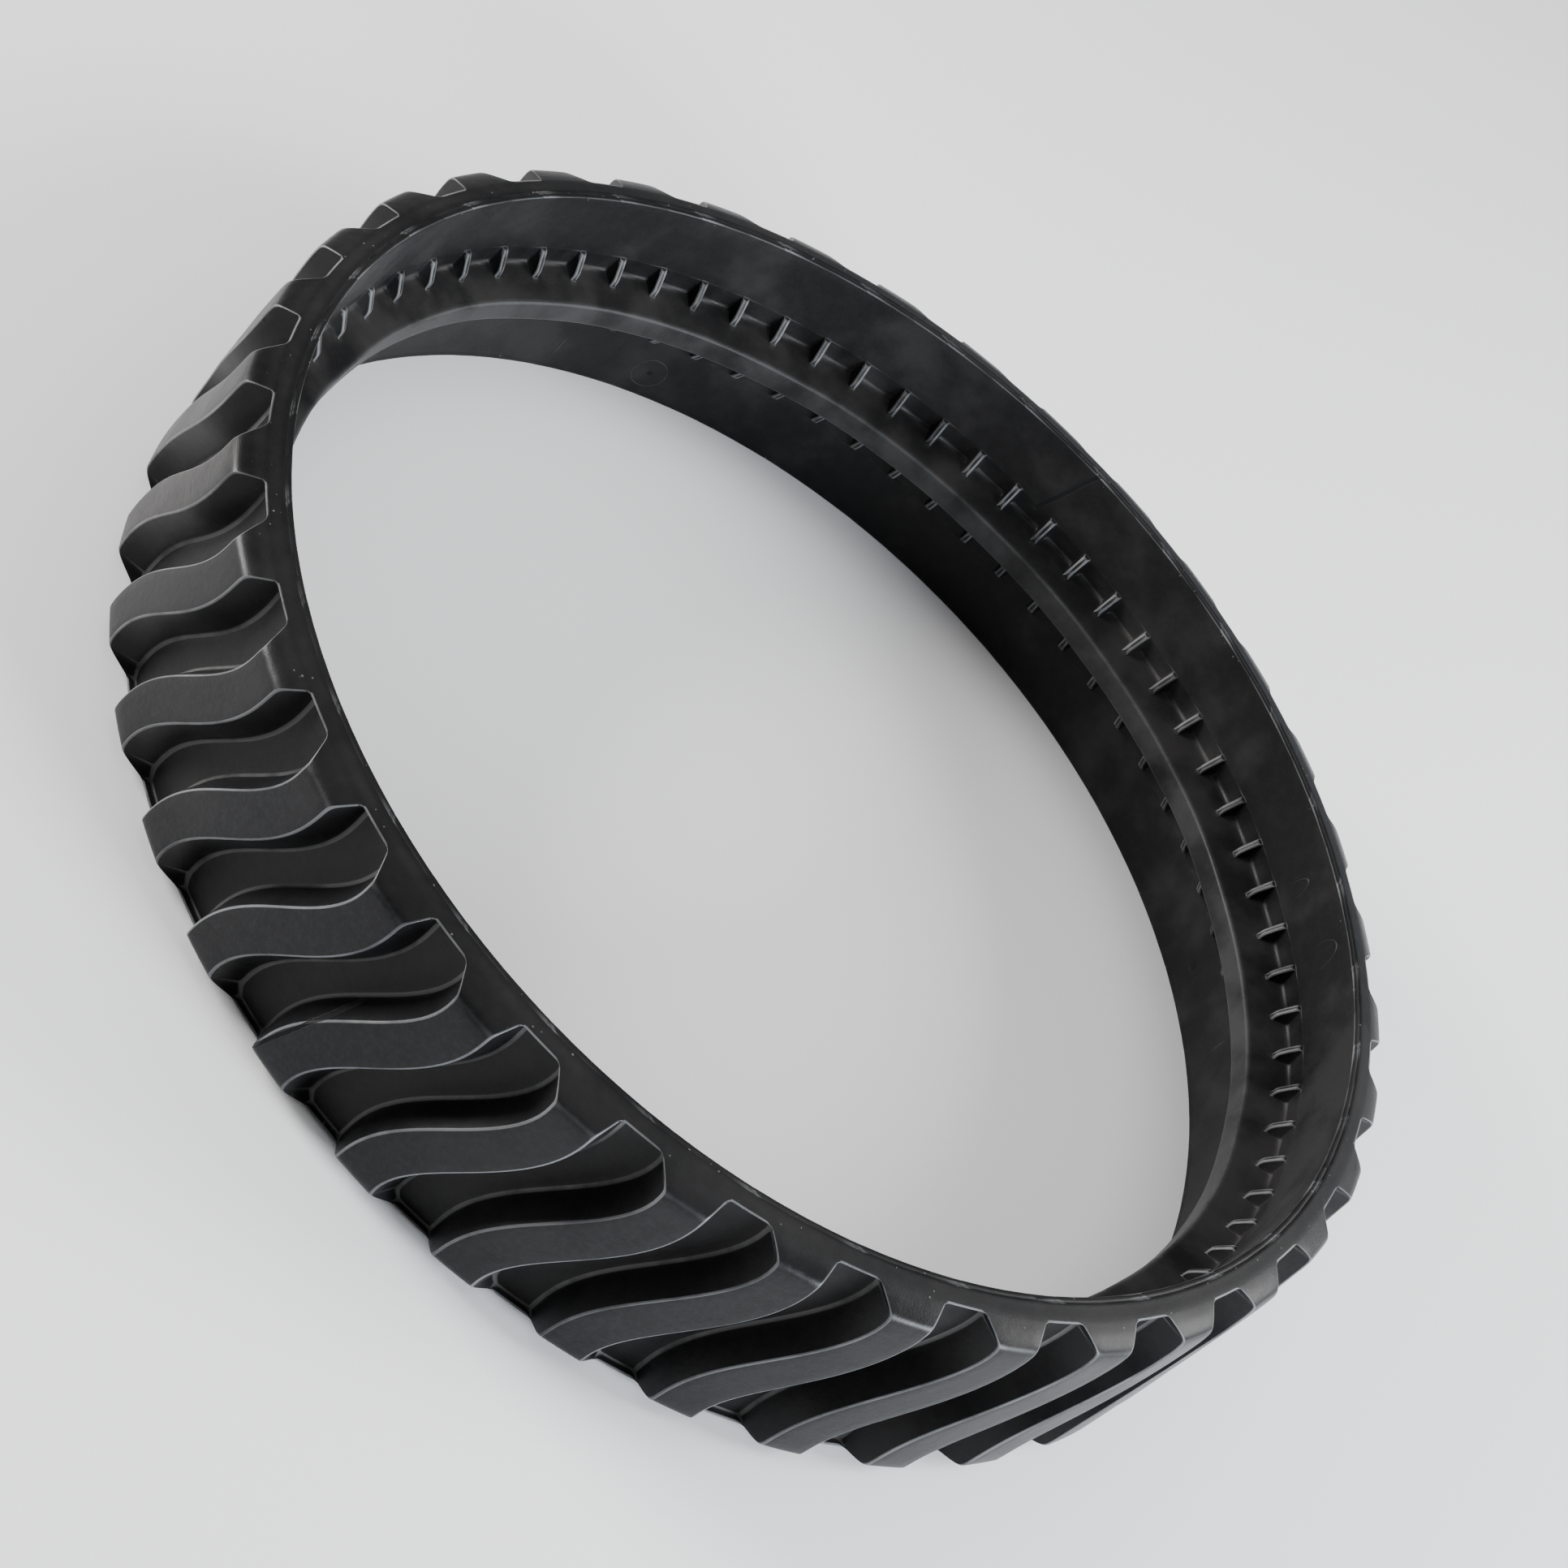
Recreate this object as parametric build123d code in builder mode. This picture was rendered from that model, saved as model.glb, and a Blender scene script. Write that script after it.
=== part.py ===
"""Endless moulded rubber track: a thin band with wavy tread lugs outside and a guide rib with
drive teeth inside.

The track lies on one rim. Its axis is +Z, the lower rim is at Z = 0 and angles run
anticlockwise from +X. Millimetres and degrees throughout.

Rubber bends everywhere. Here it bends at eight hinge lines, so the ring is cut along the
tread's grooves into nine arcs, and each arc has a band, tread, guide rib and drive teeth.
"""

from build123d import *
from math import cos, pi, radians, sin, sqrt
import os

# Driving dimensions
inner_radius = 115.0
track_width = 48.0
band_thickness = 3.0
lug_height = 6.4
rim_thickness = 1.7
shoulder_width = 2.5       # steep bevel of the tread beside each rim
rim_strip_width = 1.0      # plain strip between a rim and the ends of the grooves
rim_chamfer = 0.4

lug_count = 36
lug_face_width = 7.9       # across a lug, square to its edges
lug_swing = 8.4            # sideways swing of a lug to each side of its middle
swing_half_length = 19.5   # height above mid-width at which the swing is complete
lug_draft = 2.4            # growth of each lug side from its top face to its foot

rib_height = 8.0
rib_crest_width = 4.8
rib_foot_width = 10.0
rib_crest_chamfer = 0.6

tooth_count = 72
tooth_thickness = 1.8
tooth_height = 3.0
tooth_reach = 9.4          # from mid-width to a tooth's toe
tooth_toe_height = 0.8
tooth_land = 1.6           # flat top of a tooth beside the rib

hinge_angles = (15, 75, 105, 165, 195, 255, 285, 345)
closing_angle = 45
hinge_kerf = 1.5
closing_kerf = 0.3
kerf_lean = 0.35           # sideways run of a cut for each millimetre of width
rib_notch_width = 4.2      # at the crest of the rib, over a hinge line

arcs = {
    "000": (-15, 15),
    "030": (15, 45),
    "060": (45, 75),
    "090": (75, 105),
    "135": (105, 165),
    "180": (165, 195),
    "225": (195, 255),
    "270": (255, 285),
    "315": (285, 345),
}

# Worked out from the driving dimensions
mid_width = track_width / 2
floor_radius = inner_radius + band_thickness
top_radius = floor_radius + lug_height
rim_radius = inner_radius + rim_thickness
strip_radius = rim_radius + (top_radius - rim_radius) * rim_strip_width / shoulder_width
crest_radius = inner_radius - rib_height
tooth_radius = inner_radius - tooth_height
lug_pitch = 360 / lug_count
tooth_pitch = 360 / tooth_count
groove_half_length = mid_width - rim_strip_width
tooth_angle = tooth_thickness / inner_radius * 180 / pi
section = Plane(origin=(0, 0, mid_width), x_dir=(1, 0, 0), z_dir=(0, -1, 0))


def lug_middle(height):
    """Sideways place of a lug's centre line at a height above mid-width."""
    return lug_swing * sin(pi / 2 * max(-1.0, min(1.0, height / swing_half_length)))


def lug_half_width(height):
    """Sideways half width that keeps the lug's square width even along its slope."""
    steepness = pi / 2 * lug_swing / swing_half_length
    slope = steepness * cos(pi / 2 * min(1.0, abs(height) / swing_half_length))
    return lug_face_width / 2 * sqrt(1 + slope**2)


def lug_side(growth):
    """Points up one side of a lug; the flare that closes the groove's end is added by hand."""
    flare = {21.5: -0.3, 23: -2.0, 24: -3.0}
    heights = (-24, -23, -21.5, -17, -12, -6, 0, 6, 12, 17, 21.5, 23, 24)
    return [
        (lug_middle(z) - lug_half_width(z) + flare.get(z, 0) - growth, z) for z in heights
    ]


def knife(kerf, notch):
    """Leaning plate that cuts the ring at angle 0, widened towards the crest of the rib."""
    lean = kerf_lean * (mid_width + 1)
    with BuildPart() as plate:
        with BuildSketch(Plane.XY.offset(-1)):
            with BuildLine():
                Polyline(
                    (top_radius + 1, -lean - kerf / 2),
                    (inner_radius, -lean - kerf / 2),
                    (crest_radius - 1, -lean - notch / 2),
                    (crest_radius - 1, -lean + notch / 2),
                    (inner_radius, -lean + kerf / 2),
                    (top_radius + 1, -lean + kerf / 2),
                    close=True,
                )
            make_face()
        length = (track_width + 2) * sqrt(1 + kerf_lean**2)
        extrude(amount=length, dir=(0, kerf_lean, 1))
    return plate.part


hinge_knife = knife(hinge_kerf, rib_notch_width)
closing_knife = knife(closing_kerf, closing_kerf)


def turned(angle):
    """Place that turns a piece about the track's axis."""
    return Location((0, 0, 0), (0, 0, angle))


def cut_ring():
    """Cut the ring being built at every hinge line and at the closing line."""
    with Locations(*[turned(angle) for angle in hinge_angles]):
        add(hinge_knife, mode=Mode.SUBTRACT)
    with Locations(turned(closing_angle)):
        add(closing_knife, mode=Mode.SUBTRACT)


def arc_of(ring, start, end):
    """The one piece of a cut ring that stands over the middle of an arc."""
    middle = radians((start + end) / 2)
    target = Vector(inner_radius * cos(middle), inner_radius * sin(middle), mid_width)
    return ring.solids().sort_by_distance(target)[0]


def places_within(start, end, pitch, offset):
    """Places of a repeated piece in an arc, the first one at an offset from the arc's start."""
    count = round((end - start) / pitch)
    return [turned(start + offset + pitch * index) for index in range(count)]


# The band, with a plain strip along each rim
with BuildPart() as band:
    with BuildSketch(section):
        with BuildLine():
            Polyline(
                (inner_radius, 0),
                (inner_radius, mid_width - rim_chamfer),
                (inner_radius + rim_chamfer, mid_width),
                (rim_radius, mid_width),
                (strip_radius, groove_half_length),
                (floor_radius, groove_half_length),
                (floor_radius, 0),
                close=True,
            )
        make_face()
        mirror(about=Plane.XZ)
    revolve(axis=Axis.Z)
    cut_ring()

# The guide rib round the middle of the inner face
with BuildPart() as guide_rib:
    with BuildSketch(section):
        with BuildLine():
            Polyline(
                (inner_radius, 0),
                (inner_radius, rib_foot_width / 2),
                (crest_radius + rib_crest_chamfer, rib_crest_width / 2),
                (crest_radius, rib_crest_width / 2 - rib_crest_chamfer),
                (crest_radius, 0),
                close=True,
            )
        make_face()
        mirror(about=Plane.XZ)
    revolve(axis=Axis.Z)
    cut_ring()

# One wavy tread lug, standing on the band at angle 0
with BuildPart() as lug:
    for radius in (floor_radius - 1, top_radius + 1):
        growth = lug_draft * (top_radius - radius) / lug_height
        face_plane = Plane(origin=(radius, 0, mid_width), x_dir=(0, 1, 0), z_dir=(1, 0, 0))
        with BuildSketch(face_plane):
            with BuildLine():
                near = lug_side(growth)
                far = [(-x, -z) for x, z in near]
                Spline(*near)
                Line(near[-1], far[0])
                Spline(*far)
                Line(far[-1], near[0])
            make_face()
    loft(ruled=True)
    with BuildSketch(section):
        with BuildLine():
            Polyline(
                (floor_radius, 0),
                (floor_radius, groove_half_length),
                (strip_radius, groove_half_length),
                (top_radius, mid_width - shoulder_width),
                (top_radius, 0),
                close=True,
            )
        make_face()
        mirror(about=Plane.XZ)
    revolve(axis=Axis.Z, mode=Mode.INTERSECT)

# One pair of drive teeth, buttressing the rib from both sides at angle 0
flank_slope = (rib_foot_width - rib_crest_width) / 2 / (rib_height - rib_crest_chamfer)
flank_reach = rib_foot_width / 2 - tooth_height * flank_slope
with BuildPart() as tooth_pair:
    with BuildSketch(section):
        with BuildLine():
            Polyline(
                (inner_radius, rib_foot_width / 2),
                (inner_radius, tooth_reach),
                (inner_radius - tooth_toe_height, tooth_reach),
                (tooth_radius, flank_reach + tooth_land),
                (tooth_radius, flank_reach),
                close=True,
            )
        make_face()
        mirror(about=Plane.XZ)
    revolve(axis=Axis.Z, revolution_arc=tooth_angle)

os.makedirs("parts", exist_ok=True)
for name, (start, end) in arcs.items():
    with BuildPart() as band_arc:
        add(arc_of(band.part, start, end))
    with BuildPart() as rib_arc:
        add(arc_of(guide_rib.part, start, end))
    with BuildPart() as tread_arc:
        with Locations(*places_within(start, end, lug_pitch, lug_pitch / 2)):
            add(lug.part)
    with BuildPart() as teeth_arc:
        with Locations(*places_within(start, end, tooth_pitch, (tooth_pitch - tooth_angle) / 2)):
            add(tooth_pair.part)
    pieces = {"band": band_arc, "tread": tread_arc, "guide_rib": rib_arc, "drive_teeth": teeth_arc}
    for kind, piece in pieces.items():
        piece.part.label = f"{kind}_{name}"
        export_step(piece.part, f"parts/{kind}_{name}.step")
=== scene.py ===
"""Moulded rubber track, lying on one rim on a pale floor.

The track is one skin: a grid of columns round the ring and rows round its section. The outer
rows lean with the tread lugs and the inner rows stand straight with the drive teeth, so every
edge and fillet follows the grid. The skin is cut into eight pieces of 45 degrees.
"""

from math import cos, pi, radians, sin

import bpy
import numpy as np
from mathutils import Matrix, Vector


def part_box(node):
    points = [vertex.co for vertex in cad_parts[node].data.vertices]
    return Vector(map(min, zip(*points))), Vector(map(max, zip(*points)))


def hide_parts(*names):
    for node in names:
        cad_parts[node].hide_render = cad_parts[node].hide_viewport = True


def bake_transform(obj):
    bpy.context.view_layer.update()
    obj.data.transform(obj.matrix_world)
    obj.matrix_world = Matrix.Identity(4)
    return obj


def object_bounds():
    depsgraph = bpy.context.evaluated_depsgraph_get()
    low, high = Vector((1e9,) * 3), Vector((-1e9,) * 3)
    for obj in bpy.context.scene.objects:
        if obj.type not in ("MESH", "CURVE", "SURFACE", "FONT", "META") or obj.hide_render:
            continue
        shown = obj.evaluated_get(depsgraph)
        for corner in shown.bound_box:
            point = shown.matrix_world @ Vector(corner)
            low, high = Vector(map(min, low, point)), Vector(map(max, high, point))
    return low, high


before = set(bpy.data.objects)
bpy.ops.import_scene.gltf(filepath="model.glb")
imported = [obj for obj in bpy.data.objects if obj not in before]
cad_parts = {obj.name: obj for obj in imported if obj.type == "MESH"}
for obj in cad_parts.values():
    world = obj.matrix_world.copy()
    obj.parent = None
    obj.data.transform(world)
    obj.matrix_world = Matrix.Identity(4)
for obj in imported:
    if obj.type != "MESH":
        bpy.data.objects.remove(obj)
cad_low, cad_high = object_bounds()

MM = 0.001


def half_length(node):
    """Half of a node's size along the track's axis."""
    low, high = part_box(node)
    return (high.z - low.z) / 2


# Sizes that the frame gives, in metres
WIDTH = cad_high.z - cad_low.z
MIDDLE = (cad_high.z + cad_low.z) / 2
TOP_RADIUS = cad_high.x
INNER_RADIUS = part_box("guide_rib_000")[1].x
RIB_FOOT = half_length("guide_rib_000")
TOOTH_REACH = half_length("drive_teeth_000")
GROOVE_END = half_length("tread_000")

# Sizes of the moulding, as the design has them or within half a millimetre, in metres
BAND = 3.0 * MM
RIM = 1.7 * MM
SHOULDER = 2.7 * MM            # bevel of the tread beside each rim
STRIP_RADIUS = 119.9 * MM      # the plain strip's outer edge, with its height from mid-width
STRIP_HEIGHT = 23.25 * MM
LUG_FACE = 7.9 * MM
LUG_SWING = 8.4 * MM
SWING_END = 19.5 * MM
LUG_DRAFT = 2.4 * MM
FLARE = 3.0 * MM               # growth of one corner at each end of a lug
FLARE_START = 20.8 * MM
FLARE_LENGTH = 3.2 * MM
FLARE_POWER = 1.6
RIB_HEIGHT = 8.0 * MM
RIB_CREST = 2.4 * MM
TOOTH_HEIGHT = 3.0 * MM
TOOTH_THICKNESS = 1.8 * MM
TOOTH_DRAFT = 0.45 * MM
TOOTH_TOE = 0.8 * MM
TOOTH_LAND = 1.6 * MM
POCKET_DEPTH = 0.15 * MM       # hollow between two teeth, from here to their toes
POCKET_START = 4.4 * MM
FLOOR_RADIUS = INNER_RADIUS + BAND
RIM_RADIUS = INNER_RADIUS + RIM
CREASE = WIDTH / 2 - SHOULDER  # where the tread's crown turns into its bevel

# Roundings of the moulding, in metres
CROWN_ROUND = 1.9 * MM
STRIP_ROUND = 0.3 * MM
LUG_TOP_ROUND = 0.6 * MM
LUG_FOOT_ROUND = 1.1 * MM
RIB_ROUND = 0.7 * MM
TOOTH_TOP_ROUND = 0.4 * MM
TOOTH_FOOT_ROUND = 0.5 * MM
TOOTH_LAND_ROUND = 0.3 * MM

# Slow unevenness of the moulding: height, waves round the ring, slant in radians a metre, phase
WAVES = [(0.16 * MM, 7, 0, 0.6), (0.10 * MM, 13, 0, 2.1), (0.06 * MM, 23, 60, 0)]
EVEN_RIM = 3 * MM              # the waves fade out this far from each rim

# The grid of the skin
LUGS = 36
LUG_COLUMNS = 24
PIECES = 8
COLUMNS = LUGS * LUG_COLUMNS
PIECE_COLUMNS = COLUMNS // PIECES
FIRST_COLUMN = LUG_COLUMNS // 2
LUG_PITCH = 2 * pi / LUGS
TOOTH_PITCH = LUG_PITCH / 2

# Rows on one half of the tread, as distances from mid-width, close together where it bends
TREAD_ROWS = np.concatenate([
    np.linspace(0, CREASE - 1.6 * MM, 15),
    CREASE + np.array([-1.1, -0.7, -0.4, -0.1, 0.15, 0.4, 0.7, 1.0, 1.4]) * MM,
    GROOVE_END + np.array([-0.05, 0.05, 0.13, 0.2, 0.27, 0.4, 0.6, 0.8, 0.93]) * MM,
])

# Rows on one half of the inner face: the rib, the teeth beside it, their toes, the plain part
INNER_ROWS = np.concatenate([
    np.array([0.0, 0.9, 1.6]) * MM,
    RIB_CREST + np.array([-0.45, -0.25, -0.08, 0.12, 0.35, 0.8, 1.2]) * MM,
    np.array([3.95, 4.2, 4.5, 4.8, 5.1, 5.5, 5.9, 6.3, 7.1, 7.8]) * MM,
    TOOTH_REACH + np.array([-0.35, -0.15, 0.0, 0.1, 0.3, 0.7, 1.4]) * MM,
    np.linspace(TOOTH_REACH + 3 * MM, WIDTH / 2 - 0.45 * MM, 7),
])

# Section over the upper rim, outer face to inner face, with the fine groove in its middle:
# radius and height from mid-width
RIM_ROWS = np.array([
    (RIM_RADIUS + 0.08 * MM, WIDTH / 2 - 0.03 * MM),
    (RIM_RADIUS - 0.10 * MM, WIDTH / 2),
    (RIM_RADIUS - 0.50 * MM, WIDTH / 2),
    (RIM_RADIUS - 0.60 * MM, WIDTH / 2 - 0.12 * MM),
    (RIM_RADIUS - 0.70 * MM, WIDTH / 2),
    (INNER_RADIUS + 0.40 * MM, WIDTH / 2),
    (INNER_RADIUS + 0.14 * MM, WIDTH / 2 - 0.06 * MM),
    (INNER_RADIUS + 0.02 * MM, WIDTH / 2 - 0.22 * MM),
])


def smooth(t):
    """Smooth step from 0 to 1."""
    t = np.clip(t, 0, 1)
    return t * t * (3 - 2 * t)


def soft_min(a, b, width):
    """The smaller of two lines, rounded where they cross."""
    return (a + b - np.sqrt((a - b) ** 2 + width**2)) / 2


def soft_max(a, b, width):
    """The larger of two lines, rounded where they cross."""
    return (a + b + np.sqrt((a - b) ** 2 + width**2)) / 2


def side_wall(height, run, top_round, foot_round, top_points, foot_points):
    """Offsets and heights down a drafted wall with a rounded top edge and a filleted foot.

    The wall's top corner is at offset 0 and its foot at offset run. Arrays of rows go in, and
    arrays of rows by points come out. A wall too low for both roundings has smaller ones.
    """
    height = np.maximum(height, 1e-6)[:, None]
    run = run[:, None]
    turn = np.arctan2(height, run)
    length = np.hypot(height, run)
    spare = length / ((top_round + foot_round) * np.tan(turn / 2))
    share = np.minimum(1, 0.9 * spare)
    top_round, foot_round = top_round * share, foot_round * share
    back = top_round * np.tan(turn / 2)
    angle = turn * np.linspace(0, 1, top_points)[None, :]
    top_x = -back + top_round * np.sin(angle)
    top_y = height - top_round * (1 - np.cos(angle))
    back = foot_round * np.tan(turn / 2)
    angle = -turn * np.linspace(1, 0, foot_points)[None, :]
    foot_x = run - back * np.cos(turn) + foot_round * (np.sin(angle) + np.sin(turn))
    foot_y = back * np.sin(turn) + foot_round * (np.cos(turn) - np.cos(angle))
    return np.hstack([top_x, foot_x]), np.hstack([top_y, foot_y])


def lug_side(height):
    """Offset of a lug's left top edge from its middle, at heights from mid-width."""
    phase = pi / 2 * np.clip(height / SWING_END, -1, 1)
    middle = LUG_SWING * np.sin(phase)
    slope = pi / 2 * LUG_SWING / SWING_END * np.cos(phase)
    half = LUG_FACE / 2 * np.sqrt(1 + slope**2)
    flare = FLARE * np.clip((height - FLARE_START) / FLARE_LENGTH, 0, 1) ** FLARE_POWER
    return middle - half - flare


def tread_envelope(height):
    """Radius of the tread's outer face: a flat crown, a steep bevel, then the strip at the rim."""
    away = np.abs(height)
    crown = np.full_like(away, TOP_RADIUS)
    fall = (TOP_RADIUS - STRIP_RADIUS) / (STRIP_HEIGHT - CREASE)
    bevel = TOP_RADIUS - (away - CREASE) * fall
    fall = (STRIP_RADIUS - RIM_RADIUS) / (WIDTH / 2 - STRIP_HEIGHT)
    strip = STRIP_RADIUS - (away - STRIP_HEIGHT) * fall
    face = soft_min(soft_min(crown, bevel, CROWN_ROUND), strip, STRIP_ROUND)
    return np.minimum(face, TOP_RADIUS)


def outer_rows():
    """Angles, radii and heights of the rows that cross the tread, from one rim to the other."""
    height = np.concatenate([-TREAD_ROWS[:0:-1], TREAD_ROWS])
    rise = tread_envelope(height) - FLOOR_RADIUS
    run = LUG_DRAFT * rise / (TOP_RADIUS - FLOOR_RADIUS)
    offset, wall = side_wall(rise, run, LUG_TOP_ROUND, LUG_FOOT_ROUND, 5, 4)
    offset = offset + (LUG_DRAFT - run)[:, None]
    left = lug_side(height)[:, None] - offset[:, ::-1]
    right = -lug_side(-height)[:, None] + offset
    foot_left, foot_right = left[:, :1], right[:, -1:]
    groove = foot_left + LUG_PITCH * TOP_RADIUS - foot_right
    top = right[:, :1] - left[:, -1:]
    across = np.hstack([
        foot_left - groove / 2,
        foot_left - groove / 5,
        left,
        left[:, -1:] + top * np.array([[0.22, 0.5, 0.78]]),
        right,
        foot_right + groove / 5,
    ])
    flat = np.zeros((len(height), 2))
    crown = np.repeat(rise[:, None], 3, axis=1)
    risen = np.hstack([flat, wall[:, ::-1], crown, wall, flat[:, :1]])
    # Past their ends the grooves fill up to the strip within a quarter of a millimetre
    ended = smooth((np.abs(height) - GROOVE_END) / (0.25 * MM))[:, None]
    risen = risen * (1 - ended) + rise[:, None] * ended
    lugs = np.arange(LUGS) * LUG_PITCH
    angle = (lugs[None, :, None] + across[:, None, :] / TOP_RADIUS).reshape(len(height), -1)
    radius = np.tile(FLOOR_RADIUS + risen, (1, LUGS))
    return angle, radius, np.repeat(height[:, None], COLUMNS, axis=1)


def rib_rise(reach):
    """Height over the inner face of the rib with the pockets beside it, without the teeth."""
    flank = (RIB_FOOT - reach) * RIB_HEIGHT / (RIB_FOOT - RIB_CREST)
    rib = soft_min(flank, np.full_like(flank, RIB_HEIGHT), RIB_ROUND)
    pocket = smooth((reach - POCKET_START) / MM) * smooth((TOOTH_REACH - reach) / MM)
    return soft_max(rib, -POCKET_DEPTH * pocket, RIB_ROUND)


def tooth_rise(reach):
    """Height over the inner face of a tooth's ridge: a land beside the rib, then a slope."""
    slope_start = RIB_FOOT - TOOTH_HEIGHT * (RIB_FOOT - RIB_CREST) / RIB_HEIGHT + TOOTH_LAND
    fall = (TOOTH_HEIGHT - TOOTH_TOE) / (TOOTH_REACH - slope_start)
    slope = TOOTH_HEIGHT - (reach - slope_start) * fall
    ridge = soft_min(slope, np.full_like(reach, TOOTH_HEIGHT), TOOTH_LAND_ROUND)
    return ridge * smooth((TOOTH_REACH + 0.1 * MM - reach) / (0.35 * MM))


def inner_rows():
    """Angles, radii and heights of the rows that cross the inner face, top rim to bottom rim."""
    height = np.concatenate([INNER_ROWS[:0:-1], -INNER_ROWS])
    reach = np.abs(height)
    bare = rib_rise(reach)
    crest = np.maximum(tooth_rise(reach) - bare, 0)
    run = TOOTH_DRAFT * crest / TOOTH_HEIGHT + 0.02 * MM
    offset, wall = side_wall(crest, run, TOOTH_TOP_ROUND, TOOTH_FOOT_ROUND, 3, 2)
    half_top = TOOTH_THICKNESS / 2 - TOOTH_DRAFT / 2
    level = np.zeros((len(height), 1))
    middle = np.full_like(level, TOOTH_PITCH * INNER_RADIUS / 2)
    left, right = middle - half_top - offset[:, ::-1], middle + half_top + offset
    across = np.hstack([level, left, middle, right])
    lifted = np.hstack([level, wall[:, ::-1], crest[:, None], wall])
    lifted = lifted * (crest > 1e-6)[:, None]
    teeth = np.arange(LUGS * 2) * TOOTH_PITCH
    angle = (teeth[None, :, None] + across[:, None, :] / INNER_RADIUS).reshape(len(height), -1)
    radius = np.tile(INNER_RADIUS - bare[:, None] - lifted, (1, LUGS * 2))
    return angle, radius, np.repeat(height[:, None], COLUMNS, axis=1)


def skin():
    """Angle, radius and height of every grid point, rows round the section by columns."""
    out_angle, out_radius, out_height = outer_rows()
    in_angle, in_radius, in_height = inner_rows()
    out_angle = np.roll(out_angle, -FIRST_COLUMN, axis=1)
    out_radius = np.roll(out_radius, -FIRST_COLUMN, axis=1)
    out_angle[:, -FIRST_COLUMN:] += 2 * pi
    # The columns turn from the outer places to the inner ones, partly on the strip
    straighten = 0.4 * smooth((np.abs(out_height) - GROOVE_END - 0.27 * MM) / (0.7 * MM))
    out_angle = out_angle * (1 - straighten) + in_angle[:1] * straighten
    # and the rest of the way over the rim
    share = np.linspace(0.1, 1, len(RIM_ROWS))[:, None]
    upper_angle = out_angle[-1:] * (1 - share) + in_angle[:1] * share
    lower_angle = out_angle[:1] * (1 - share) + in_angle[-1:] * share
    rim_radius = np.tile(RIM_ROWS[:, :1], (1, COLUMNS))
    rim_height = np.tile(RIM_ROWS[:, 1:], (1, COLUMNS))
    angle = np.vstack([out_angle, upper_angle, in_angle, lower_angle[::-1]])
    radius = np.vstack([out_radius, rim_radius, in_radius, rim_radius[::-1]])
    height = np.vstack([out_height, rim_height, in_height, -rim_height[::-1]])
    return angle, radius, height


def placed(angle, radius, height):
    """Points of the skin in the frame, with the slow unevenness of the moulding."""
    waves = sum(
        size * np.sin(count * angle + slant * height + phase)
        for size, count, slant, phase in WAVES
    )
    uneven = radius + waves * smooth((WIDTH / 2 - np.abs(height)) / EVEN_RIM)
    return np.stack([uneven * np.cos(angle), uneven * np.sin(angle), height + MIDDLE], axis=-1)


def sharpness(points):
    """Curvature at every grid point in 1/metres, plus on raised edges and minus in corners."""
    along = np.roll(points, -1, 1) - np.roll(points, 1, 1)
    down = np.roll(points, -1, 0) - np.roll(points, 1, 0)
    normal = np.cross(along, down)
    normal /= np.maximum(np.linalg.norm(normal, axis=-1, keepdims=True), 1e-15)
    total = np.zeros(points.shape[:2])
    for axis in (0, 1):
        ahead = np.roll(points, -1, axis) - points
        behind = points - np.roll(points, 1, axis)
        far = np.maximum(np.linalg.norm(ahead, axis=-1, keepdims=True), 0.01 * MM)
        near = np.maximum(np.linalg.norm(behind, axis=-1, keepdims=True), 0.01 * MM)
        bend = (ahead / far - behind / near) / (far + near) * 2
        total -= np.sum(bend * normal, axis=-1)
    return total


def store(mesh, name, kind, values):
    """Store values on a mesh's points as a named attribute, for the material to read."""
    attribute = mesh.attributes.new(name, kind, "POINT")
    key = "value" if kind == "FLOAT" else "vector"
    attribute.data.foreach_set(key, values.astype(np.float32).ravel())


def skin_piece(name, angle, radius, height, points, sharp, first):
    """One 45 degree piece of the skin, which stores its unrolled and moulded places."""
    wide = PIECE_COLUMNS + 1
    numbers = np.arange(first, first + wide)
    columns, turns = numbers % COLUMNS, numbers // COLUMNS
    own = points[:, columns].reshape(-1, 3)
    index = np.arange(len(angle) * wide).reshape(-1, wide)
    below = np.roll(index, -1, axis=0)
    quads = np.stack([index[:, :-1], index[:, 1:], below[:, 1:], below[:, :-1]], axis=-1)
    mesh = bpy.data.meshes.new(name)
    mesh.from_pydata(own.tolist(), [], quads.reshape(-1, 4).tolist())
    mesh.shade_smooth()
    along = (angle[:, columns] + 2 * pi * turns) * INNER_RADIUS
    unrolled = np.stack([along, height[:, columns], radius[:, columns] - INNER_RADIUS], axis=-1)
    store(mesh, "unrolled", "FLOAT_VECTOR", unrolled)
    store(mesh, "moulded", "FLOAT_VECTOR", own)
    store(mesh, "sharp", "FLOAT", sharp[:, columns] * MM)
    piece = bpy.data.objects.new(name, mesh)
    bpy.context.collection.objects.link(piece)
    return piece


# Each piece of the skin: its hinge line, the bodies before and after it, the arcs it stands for
SKIN = [
    (15, "arc_000", "arc_030", ["000", "030"]),
    (75, "arc_060", "arc_090", ["060"]),
    (105, "arc_090", "arc_135", ["090"]),
    (165, "arc_135", "arc_180", ["135"]),
    (195, "arc_180", "arc_225", ["180"]),
    (255, "arc_225", "arc_270", ["225"]),
    (285, "arc_270", "arc_315", ["270"]),
    (345, "arc_315", "arc_000", ["315"]),
]
NODE_KINDS = ("band", "tread", "guide_rib", "drive_teeth")


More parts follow.
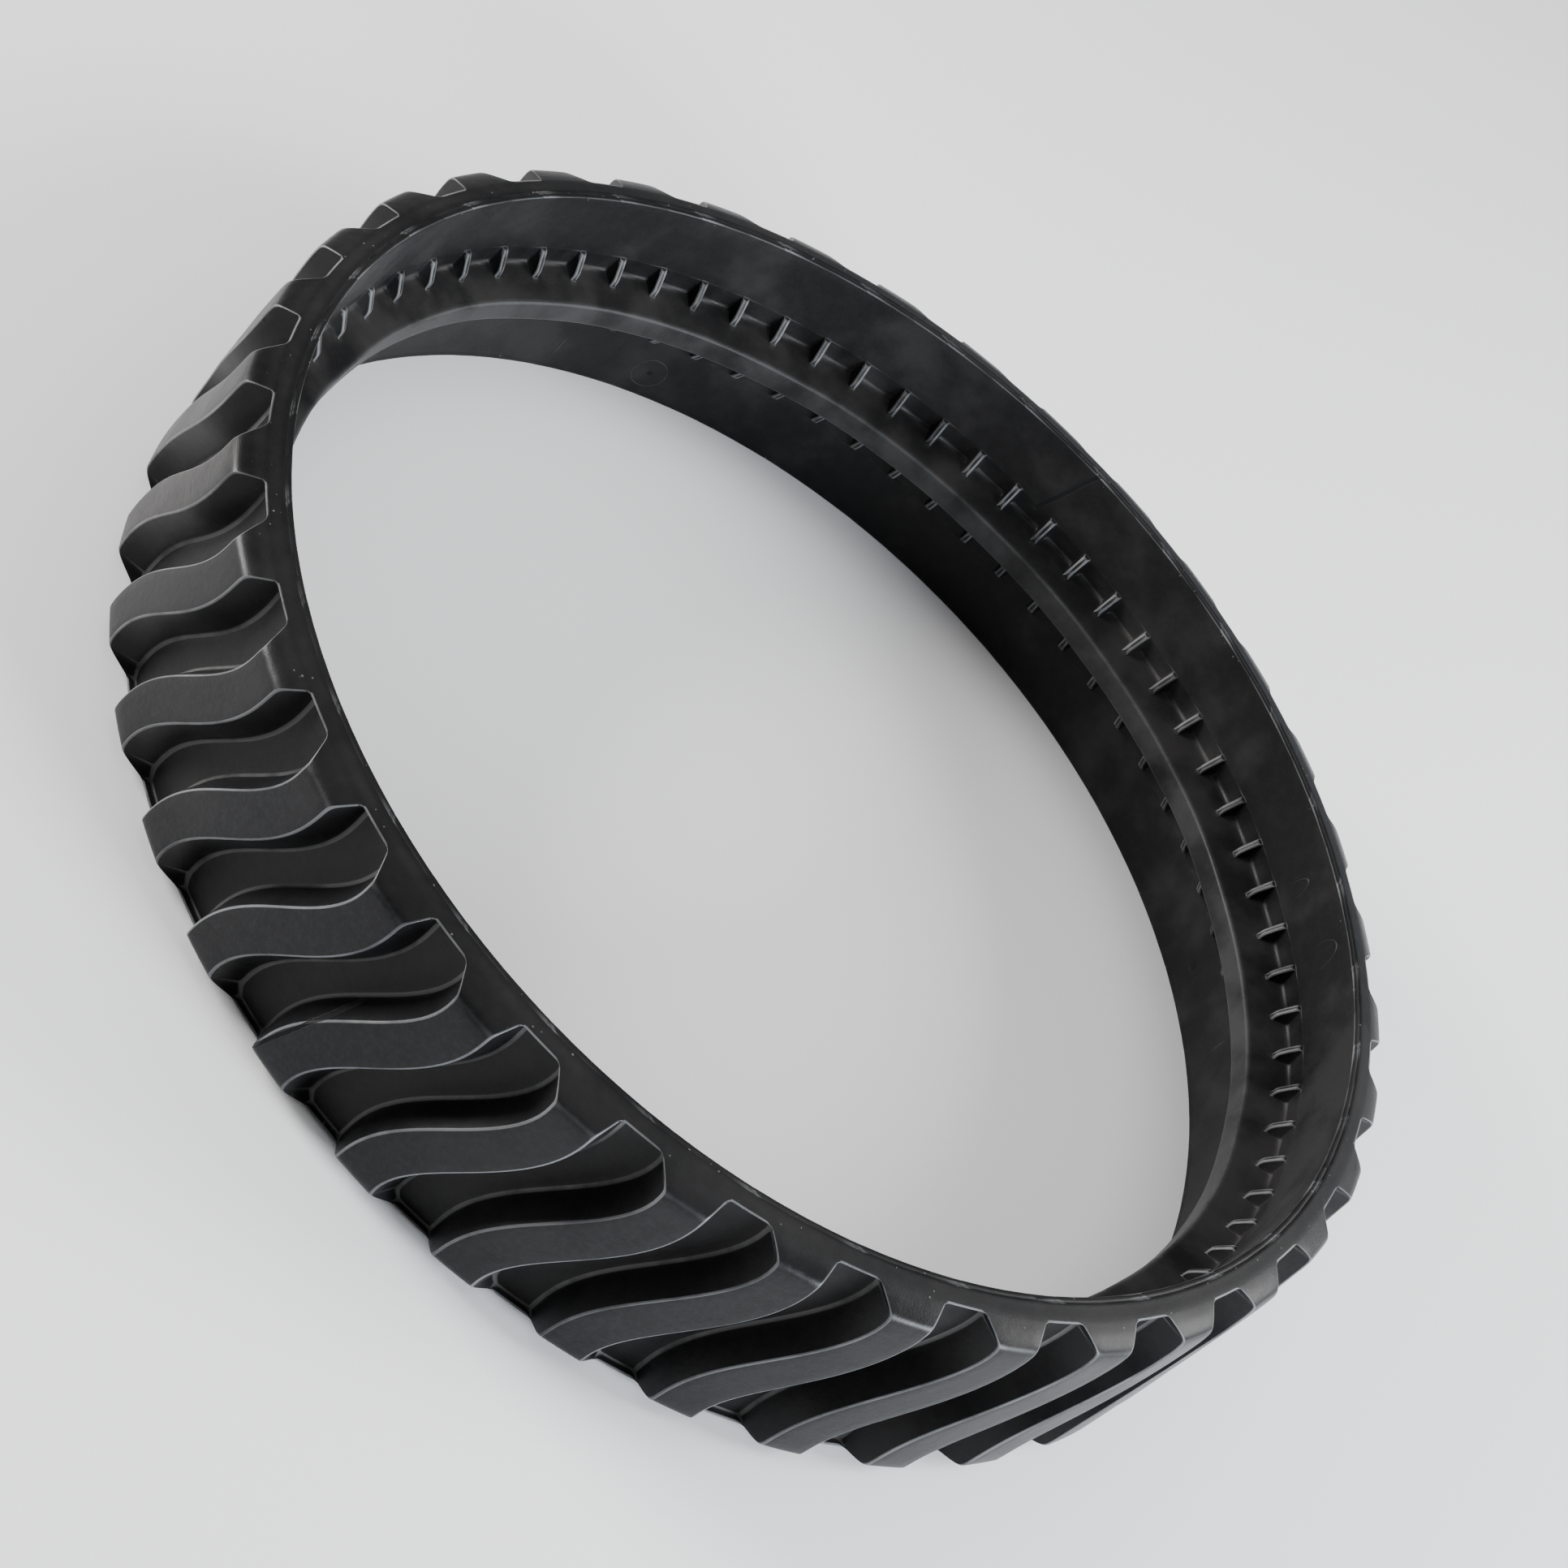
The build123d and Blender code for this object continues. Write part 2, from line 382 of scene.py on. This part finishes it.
def build_track(material):
    """The eight pieces of the skin, which take the place of the model's parts for their arcs."""
    angle, radius, height = skin()
    points = placed(angle, radius, height)
    sharp = sharpness(points)
    for number, (hinge, before, after, stands_for) in enumerate(SKIN):
        start = 360 // PIECES * number
        name = f"track_{start:03d}_{start + 360 // PIECES:03d}"
        piece = skin_piece(name, angle, radius, height, points, sharp, PIECE_COLUMNS * number)
        piece.data.materials.append(material)
        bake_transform(piece)
        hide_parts(*[f"{kind}_{arc}" for kind in NODE_KINDS for arc in stands_for])


# Mould marks on the inner face: angle in degrees, height from mid-width, half width, half height
OVAL_MARKS = [(130.0, -17.5 * MM, 3.7 * MM, 3.7 * MM)]
ARCH_MARKS = [(31.7, 16.0 * MM, 2.8 * MM, 4.6 * MM), (40.3, 14.0 * MM, 1.6 * MM, 3.4 * MM)]
NICK_MARKS = [
    (30.4, -14 * MM, 0.25 * MM, 2.6 * MM),
    (141.0, -17 * MM, 0.25 * MM, 2.6 * MM),
    (322.0, 16 * MM, 0.25 * MM, 2.6 * MM),
]
SPOT_MARKS = [
    (130.0, -17.5 * MM, 0.8 * MM, 0.8 * MM),
    (40.8, -16.5 * MM, 1.4 * MM, 1.4 * MM),
    (215.0, 15 * MM, 0.9 * MM, 0.9 * MM),
]

# Slanted mould lines and the scuffed lugs, in degrees; the slant is sideways run for each metre up
INNER_SEAM = 91.0
TREAD_SEAM = 257.0
SEAM_SLANT = 0.28
SCUFFED_ANGLES = (199.0, 210.0)

# Colours of the rubber, of what wear, moulding and dust leave on it, and of the highlights, sheen
# and seam shade painted on it
RUBBER_DARK = (0.0020, 0.0020, 0.0023, 1)
RUBBER_LIGHT = (0.0038, 0.0038, 0.0042, 1)
BLOOM = (0.019, 0.018, 0.018, 1)
GROOVE_DUST = (0.015, 0.014, 0.013, 1)
# Rubbed lug tops, also lighter and bluish as a painted sheen
RUBBED_TOP_AND_SHEEN = (0.011, 0.012, 0.0145, 1)
# Rib crest, polished and made paler with a painted highlight
POLISHED_CREST_AND_HIGHLIGHT = (0.036, 0.036, 0.037, 1)
SCUFF = (0.042, 0.038, 0.035, 1)
# Worn edges, also pale as painted highlights
WORN_EDGE_AND_HIGHLIGHT = (0.150, 0.153, 0.158, 1)
# Pale lines along the lugs' feet: painted highlights
FOOT_HIGHLIGHT = (0.085, 0.084, 0.082, 1)
# Black of the sunken seams, painted shade in their grooves, and of the dark spots
SEAM_SHADE_AND_SPOT_BLACK = (0.0015, 0.0015, 0.002, 1)
MARK_LINE = (0.045, 0.044, 0.043, 1)
DUST_SPECK = (0.17, 0.165, 0.16, 1)


class Nodes:
    """Short ways to add and join the nodes of one material."""

    def __init__(self, name):
        self.material = bpy.data.materials.new(name)
        self.material.use_nodes = True
        self.tree = self.material.node_tree
        self.shader = self.tree.nodes["Principled BSDF"]

    def add(self, kind, inputs=(), **settings):
        """A node with its settings, and its inputs by place: a number, colour or output."""
        node = self.tree.nodes.new(kind)
        for key, value in settings.items():
            setattr(node, key, value)
        for place, value in dict(inputs).items():
            if isinstance(value, bpy.types.NodeSocket):
                self.tree.links.new(value, node.inputs[place])
            else:
                node.inputs[place].default_value = value
        return node

    def attribute(self, name, output="Vector"):
        """What the skin stores under a name."""
        return self.add("ShaderNodeAttribute", attribute_name=name).outputs[output]

    def math(self, operation, a, b=0.0, clamp=False):
        """One operation on two numbers."""
        node = self.add("ShaderNodeMath", {0: a, 1: b}, operation=operation, use_clamp=clamp)
        return node.outputs[0]

    def vector(self, operation, a, b=(0, 0, 0)):
        """One operation on two vectors."""
        node = self.add("ShaderNodeVectorMath", {0: a, 1: b}, operation=operation)
        return node.outputs[1 if operation == "LENGTH" else 0]

    def plus(self, a, b, clamp=False):
        """Sum of two numbers."""
        return self.math("ADD", a, b, clamp)

    def minus(self, a, b, clamp=False):
        """Difference of two numbers."""
        return self.math("SUBTRACT", a, b, clamp)

    def times(self, a, b, clamp=False):
        """Product of two numbers."""
        return self.math("MULTIPLY", a, b, clamp)

    def apart(self, a, b):
        """Distance between two numbers."""
        return self.math("ABSOLUTE", self.minus(a, b))

    def largest(self, masks):
        """The largest of several masks."""
        result = masks[0]
        for mask in masks[1:]:
            result = self.math("MAXIMUM", result, mask)
        return result

    def step(self, value, start, end):
        """Smooth step from 0 where the value is start to 1 where it is end."""
        node = self.add(
            "ShaderNodeMapRange", {0: value, 1: start, 2: end}, interpolation_type="SMOOTHSTEP"
        )
        return node.outputs[0]

    def noise(self, place, scale, detail, rough):
        """Noise of about 0 to 1 with features of 1/scale metres."""
        node = self.add(
            "ShaderNodeTexNoise",
            {"Vector": place, "Scale": scale, "Detail": detail, "Roughness": rough},
        )
        return node.outputs["Fac"]

    def mix(self, share, a, b):
        """Colour a where share is 0 and colour b where it is 1."""
        node = self.add("ShaderNodeMix", {0: share, 6: a, 7: b}, data_type="RGBA")
        return node.outputs[2]

    def bump(self, height, distance, normal=None):
        """Bump that stands this many metres out where the height is 1."""
        node = self.add("ShaderNodeBump", {"Height": height, "Distance": distance})
        if normal is not None:
            self.tree.links.new(normal, node.inputs["Normal"])
        return node.outputs[0]


class Rubber(Nodes):
    """Black moulded rubber: satin, finely grained, with bloom, dust, wear and mould marks,
    and with painted highlights, sheen and seam shade.
    """

    def __init__(self):
        super().__init__("track_rubber")
        self.find_regions()
        self.make_noises()
        self.make_wear()
        self.make_seams()
        self.make_marks()
        self.make_specks()
        self.paint()
        self.set_gloss()
        self.emboss()

    def find_regions(self):
        """Places on the skin, and masks of its regions.

        Depth runs outward from the inner face: the rib's crest is at -8 mm, the groove floors
        at 3 mm and the lug tops at 9.4 mm.
        """
        self.place = self.attribute("moulded")
        self.unrolled = self.attribute("unrolled")
        self.sharp = self.attribute("sharp", "Fac")
        split = self.add("ShaderNodeSeparateXYZ", {0: self.unrolled})
        self.along, self.height, depth = split.outputs
        self.inside = self.step(depth, 0.6 * MM, -0.2 * MM)
        self.tops = self.step(depth, 7.5 * MM, 9.2 * MM)
        above_band = self.step(depth, 1.8 * MM, 2.8 * MM)
        self.floors = self.times(above_band, self.step(depth, 4.6 * MM, 3.2 * MM))
        self.crest = self.step(depth, -6.9 * MM, -7.7 * MM)
        self.off_crest = self.step(depth, -9.0 * MM, -4.0 * MM)
        from_middle = self.math("ABSOLUTE", self.height)
        self.strip = self.step(from_middle, GROOVE_END - 0.8 * MM, GROOVE_END)

    def make_noises(self):
        """Noises from the coarsest to the finest, and streaks that run round the ring."""
        self.clouds = self.noise(self.place, 19, 4, 0.55)
        self.patches = self.noise(self.place, 75, 5, 0.6)
        self.mottle = self.noise(self.place, 420, 4, 0.6)
        self.speckle = self.noise(self.place, 950, 5, 0.72)
        self.grain = self.noise(self.place, 3600, 3, 0.7)
        flattened = self.vector("MULTIPLY", self.place, (240, 240, 2600))
        self.streaks = self.noise(flattened, 1.0, 4, 0.65)

    def make_wear(self):
        """Masks of bloom, dust, rubbed tops with painted sheen, the polished crest with a painted
        highlight, scuffs, worn edges with painted highlights, and painted highlights along the
        lugs' feet.
        """
        # Bloom is cloudy, and strongest on the inner face
        cloudy = self.plus(self.times(self.clouds, 0.62), self.times(self.patches, 0.38))
        amount = self.plus(0.22, self.times(self.inside, 0.55))
        self.bloom = self.times(self.step(cloudy, 0.44, 0.62), amount)

        # Dust settles on the groove floors; the lug tops are rubbed and carry a painted sheen, and
        # the rib's crest is polished and carries a painted highlight
        self.dusty = self.times(self.floors, self.step(self.patches, 0.42, 0.68))
        self.rubbed_and_sheen = self.times(self.tops, self.step(self.speckle, 0.42, 0.66))
        self.polish_and_highlight = self.times(self.crest, self.step(self.patches, 0.25, 0.7))

        # Two lugs are scuffed along the way the track runs
        scuffs = []
        for angle in SCUFFED_ANGLES:
            off = self.apart(self.along, radians(angle) * INNER_RADIUS)
            scuffs.append(self.step(off, 13 * MM, 5 * MM))
        scuffed = self.times(self.largest(scuffs), self.tops)
        self.scuffed = self.times(scuffed, self.step(self.streaks, 0.36, 0.6))

        # Raised edges are worn and carry painted highlights, less on the rib, and painted
        # highlights lie along the lugs' feet
        patchy = self.step(self.patches, 0.30, 0.62)
        amount = self.plus(0.35, self.times(patchy, 0.65))
        worn_and_highlit = self.times(self.step(self.sharp, 0.35, 1.3), amount)
        self.worn_and_highlit = self.times(worn_and_highlit, self.off_crest)
        foot_highlight = self.times(self.step(self.sharp, -0.35, -0.85), self.minus(1.0, self.inside))
        self.foot_highlight = self.times(foot_highlight, self.plus(0.3, patchy), clamp=True)

    def make_seams(self):
        """Mask of two slanted mould lines: on the upper inner face and on the lower tread."""
        wander = self.times(self.minus(self.patches, 0.5), 1.6 * MM)
        wavy = self.plus(self.along, wander)
        lean = self.times(self.height, SEAM_SLANT)
        off = self.apart(self.plus(wavy, lean), radians(INNER_SEAM) * INNER_RADIUS)
        where = self.times(self.inside, self.step(self.height, 7.5 * MM, 8.5 * MM))
        inner = self.times(self.step(off, 0.62 * MM, 0.42 * MM), where)
        off = self.apart(self.minus(wavy, lean), radians(TREAD_SEAM) * INNER_RADIUS)
        where = self.minus(self.step(self.height, 2 * MM, -3 * MM), self.inside, clamp=True)
        tread = self.times(self.step(off, 0.42 * MM, 0.22 * MM), where)
        self.seam = self.largest([inner, tread])

    def from_mark(self, angle, up, half_width, half_height):
        """Distance from a mark's middle, which is 1 on its oval outline."""
        centre = (radians(angle) * INNER_RADIUS, up, 0)
        away = self.vector("SUBTRACT", self.unrolled, centre)
        size = (1 / half_width, 1 / half_height, 0)
        return self.vector("LENGTH", self.vector("MULTIPLY", away, size))

    def outline(self, mark):
        """Mask of a thin line round a mark."""
        half_width = mark[2]
        off = self.apart(self.from_mark(*mark), 1.0)
        return self.step(off, 0.2 * MM / half_width, 0.05 * MM / half_width)

    def make_marks(self):
        """Masks of the mould marks on the inner face: thin lines, and dark spots."""
        lines = [self.outline(mark) for mark in OVAL_MARKS]
        for mark in ARCH_MARKS:
            upper = self.step(self.height, mark[1] - 1.5 * MM, mark[1])
            lines.append(self.times(self.outline(mark), upper))
        lines += [self.step(self.from_mark(*mark), 1.0, 0.6) for mark in NICK_MARKS]
        spots = [self.step(self.from_mark(*mark), 1.0, 0.5) for mark in SPOT_MARKS]
        self.lines = self.times(self.largest(lines), self.inside)
        self.spots = self.times(self.largest(spots), self.inside)
        # The seams' black is painted shade in their grooves; the spots are darkened with it
        self.seam_shade_and_spots = self.largest([self.seam, self.times(self.spots, 0.8)])

    def make_specks(self):
        """Mask of dust specks, in one cell of seven, and in half of them beside each rim."""
        cells = self.add("ShaderNodeTexVoronoi", {"Vector": self.place, "Scale": 700.0})
        chosen = self.add("ShaderNodeSeparateXYZ", {0: cells.outputs["Color"]}).outputs[0]
        fewest = self.minus(0.86, self.times(self.strip, 0.35))
        size = self.times(self.minus(chosen, fewest, clamp=True), 0.30)
        self.speck = self.math("LESS_THAN", cells.outputs["Distance"], size)

    def paint(self):
        """Base colour: the black rubber, then each mask's colour laid over it in turn."""
        colour = self.mix(self.step(self.mottle, 0.35, 0.7), RUBBER_DARK, RUBBER_LIGHT)
        layers = [
            (self.bloom, 1.0, BLOOM),
            (self.dusty, 0.4, GROOVE_DUST),
            # rubbed lug tops, with a painted sheen
            (self.rubbed_and_sheen, 0.45, RUBBED_TOP_AND_SHEEN),
            # the rib's crest, polish and a painted highlight
            (self.polish_and_highlight, 0.6, POLISHED_CREST_AND_HIGHLIGHT),
            (self.scuffed, 0.45, SCUFF),
            # worn edges, with painted highlights
            (self.worn_and_highlit, 0.72, WORN_EDGE_AND_HIGHLIGHT),
            # painted highlights along the lugs' feet
            (self.foot_highlight, 0.75, FOOT_HIGHLIGHT),
            # seams painted black as shade in their grooves, and the dark spots
            (self.seam_shade_and_spots, 0.85, SEAM_SHADE_AND_SPOT_BLACK),
            (self.lines, 0.35, MARK_LINE),
            (self.speck, 0.45, DUST_SPECK),
        ]
        for mask, strength, laid in layers:
            colour = self.mix(self.times(mask, strength), colour, laid)
        self.tree.links.new(colour, self.shader.inputs["Base Color"])

    def set_gloss(self):
        """Roughness from the masks, and the even gloss and sheen of the rubber."""
        rough = self.plus(0.27, self.times(self.patches, 0.16))
        changes = [
            (self.floors, 0.14),
            (self.bloom, 0.14),
            (self.strip, 0.12),
            (self.inside, 0.10),
            (self.seam_shade_and_spots, 0.5),
            (self.worn_and_highlit, -0.08),
        ]
        for mask, change in changes:
            rough = self.plus(rough, self.times(mask, change))
        rough = self.plus(rough, self.times(self.speck, 0.3), clamp=True)
        self.tree.links.new(rough, self.shader.inputs["Roughness"])
        self.shader.inputs["IOR"].default_value = 1.26
        self.shader.inputs["Sheen Weight"].default_value = 0.03
        self.shader.inputs["Sheen Roughness"].default_value = 0.35
        self.shader.inputs["Sheen Tint"].default_value = (0.78, 0.84, 0.95, 1)

    def emboss(self):
        """Bumps: mottle, grain and scuffs, then the sunken seams and spots and raised lines."""
        normal = self.bump(self.mottle, 0.05 * MM)
        normal = self.bump(self.grain, 0.035 * MM, normal)
        normal = self.bump(self.times(self.streaks, self.scuffed), 0.03 * MM, normal)
        normal = self.bump(self.minus(1.0, self.seam), 0.45 * MM, normal)
        normal = self.bump(self.minus(self.lines, self.spots), 0.12 * MM, normal)
        self.tree.links.new(normal, self.shader.inputs["Normal"])


# The camera's view: azimuth, elevation and roll in degrees, distance in inner radii, and the
# share of the picture's width that the track fills
VIEW_AZIMUTH = -93.3
VIEW_ELEVATION = 37.0
VIEW_ROLL = 47.0
VIEW_DISTANCE = 5.8
VIEW_FILL = 0.88235
SENSOR_WIDTH = 36


def make_camera():
    """Camera at the photograph's viewing angle, with the track filling the frame."""
    distance = VIEW_DISTANCE * INNER_RADIUS
    around, up = radians(VIEW_AZIMUTH), radians(VIEW_ELEVATION)
    back = Vector((cos(around) * cos(up), sin(around) * cos(up), sin(up)))
    right = Vector((-sin(around), cos(around), 0))
    above = back.cross(right)
    roll = radians(VIEW_ROLL)
    image_right = cos(roll) * right + sin(roll) * above
    image_up = -sin(roll) * right + cos(roll) * above
    data = bpy.data.cameras.new("camera")
    camera = bpy.data.objects.new("camera", data)
    bpy.context.collection.objects.link(camera)
    target = Vector((0, 0, MIDDLE))
    turned = Matrix((image_right, image_up, back)).transposed().to_4x4()
    camera.matrix_world = Matrix.Translation(target + back * distance) @ turned
    data.sensor_width = SENSOR_WIDTH
    data.lens = SENSOR_WIDTH * VIEW_FILL * distance / (2 * TOP_RADIUS)
    data.clip_start = 0.01
    bpy.context.scene.camera = camera


# Soft square lights: name, place in metres, size in metres, power in watts, colour
LIGHTS = [
    ("top", (0, 0.1, 1.5), 1.4, 8, (1, 1, 1)),
    ("key", (0.85, 0.40, 0.58), 0.5, 15, (1, 1, 1)),
    ("left", (-0.90, -0.12, 0.32), 0.35, 20, (1.0, 0.98, 0.96)),
    ("right", (0.90, -0.34, 0.27), 0.35, 23, (0.88, 0.94, 1.0)),
]
SURROUND_STRENGTH = 0.26
FLOOR_SIZE = 6
FLOOR_COLOUR = (0.86, 0.86, 0.87, 1)
FLOOR_ROUGHNESS = 0.9


def area_light(name, place, size, power, colour):
    """Soft square light that looks at the track."""
    data = bpy.data.lights.new(name, "AREA")
    data.shape = "SQUARE"
    data.size = size
    data.energy = power
    data.color = colour
    light = bpy.data.objects.new(name, data)
    bpy.context.collection.objects.link(light)
    light.location = place
    aim = Vector((0, 0, MIDDLE)) - Vector(place)
    light.rotation_euler = aim.to_track_quat("-Z", "Y").to_euler()


def make_floor():
    """Plain pale floor under the track."""
    bpy.ops.mesh.primitive_plane_add(size=FLOOR_SIZE, location=(0, 0, cad_low.z))
    floor = bpy.context.object
    floor.name = "floor"
    paper = bpy.data.materials.new("pale_floor")
    paper.use_nodes = True
    shader = paper.node_tree.nodes["Principled BSDF"]
    shader.inputs["Base Color"].default_value = FLOOR_COLOUR
    shader.inputs["Roughness"].default_value = FLOOR_ROUGHNESS
    floor.data.materials.append(paper)


def make_studio():
    """The floor, an even pale surround, and soft light from above and from the sides."""
    make_floor()
    world = bpy.data.worlds.new("surround")
    bpy.context.scene.world = world
    world.use_nodes = True
    background = world.node_tree.nodes["Background"]
    background.inputs["Color"].default_value = (1, 1, 1, 1)
    background.inputs["Strength"].default_value = SURROUND_STRENGTH
    for light in LIGHTS:
        area_light(*light)


build_track(Rubber().material)
make_studio()
make_camera()
